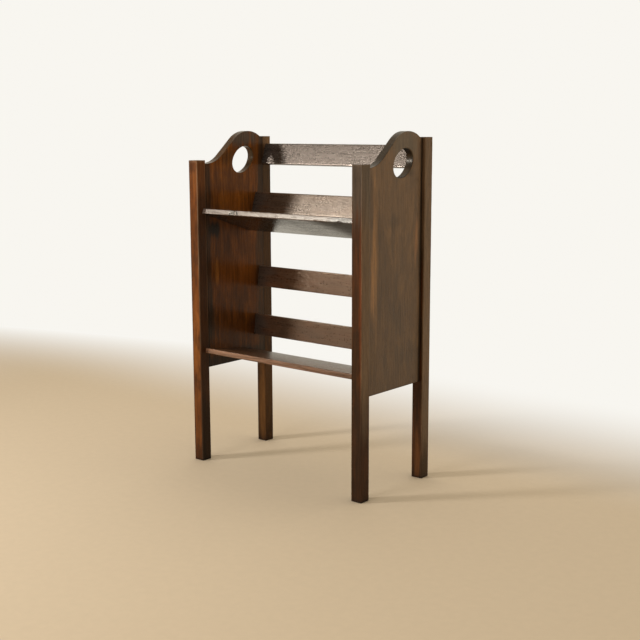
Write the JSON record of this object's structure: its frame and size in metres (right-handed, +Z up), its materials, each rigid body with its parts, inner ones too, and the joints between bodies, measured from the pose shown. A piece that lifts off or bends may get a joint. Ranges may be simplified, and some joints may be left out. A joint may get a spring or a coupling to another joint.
{
  "type": "book trough",
  "caption": "Free-standing oak stand with two tilted book troughs between scrolled side panels with hand holes, on square posts.",
  "frame": {"origin": "on the floor, below the middle of the stand's width and depth", "axes": "+Z up, +X to the right seen from the front, -Y towards the person who takes out a book"},
  "size_m": [0.468, 0.229, 0.719],
  "materials": {
    "post_oak": "dark stain, satin varnish",
    "panel_oak": "dark stain, satin varnish",
    "shelf_oak": "dark stain, worn satin varnish",
    "slat_oak": "dark stain, satin varnish",
    "dowel_birch": "bare, glued"
  },
  "bodies": {
    "root": {"front_left_post": "post_oak", "front_right_post": "post_oak", "back_left_post": "post_oak", "back_right_post": "post_oak", "left_side_panel": "panel_oak", "right_side_panel": "panel_oak", "upper_shelf": "shelf_oak", "lower_shelf": "shelf_oak", "upper_top_slat": "slat_oak", "upper_low_slat": "slat_oak", "lower_top_slat": "slat_oak", "lower_low_slat": "slat_oak", "left_front_edge_dowel_1": "dowel_birch", "left_front_edge_dowel_2": "dowel_birch", "left_front_edge_dowel_3": "dowel_birch", "left_front_edge_dowel_4": "dowel_birch", "left_back_edge_dowel_1": "dowel_birch", "left_back_edge_dowel_2": "dowel_birch", "left_back_edge_dowel_3": "dowel_birch", "left_back_edge_dowel_4": "dowel_birch", "right_front_edge_dowel_1": "dowel_birch", "right_front_edge_dowel_2": "dowel_birch", "right_front_edge_dowel_3": "dowel_birch", "right_front_edge_dowel_4": "dowel_birch", "right_back_edge_dowel_1": "dowel_birch", "right_back_edge_dowel_2": "dowel_birch", "right_back_edge_dowel_3": "dowel_birch", "right_back_edge_dowel_4": "dowel_birch", "upper_shelf_left_dowel_1": "dowel_birch", "upper_shelf_left_dowel_2": "dowel_birch", "upper_shelf_right_dowel_1": "dowel_birch", "upper_shelf_right_dowel_2": "dowel_birch", "lower_shelf_left_dowel_1": "dowel_birch", "lower_shelf_left_dowel_2": "dowel_birch", "lower_shelf_right_dowel_1": "dowel_birch", "lower_shelf_right_dowel_2": "dowel_birch", "upper_top_slat_left_dowel_1": "dowel_birch", "upper_top_slat_left_dowel_2": "dowel_birch", "upper_top_slat_right_dowel_1": "dowel_birch", "upper_top_slat_right_dowel_2": "dowel_birch", "upper_low_slat_left_dowel_1": "dowel_birch", "upper_low_slat_left_dowel_2": "dowel_birch", "upper_low_slat_right_dowel_1": "dowel_birch", "upper_low_slat_right_dowel_2": "dowel_birch", "lower_top_slat_left_dowel_1": "dowel_birch", "lower_top_slat_left_dowel_2": "dowel_birch", "lower_top_slat_right_dowel_1": "dowel_birch", "lower_top_slat_right_dowel_2": "dowel_birch", "lower_low_slat_left_dowel_1": "dowel_birch", "lower_low_slat_left_dowel_2": "dowel_birch", "lower_low_slat_right_dowel_1": "dowel_birch", "lower_low_slat_right_dowel_2": "dowel_birch"}
  },
  "joints": []
}
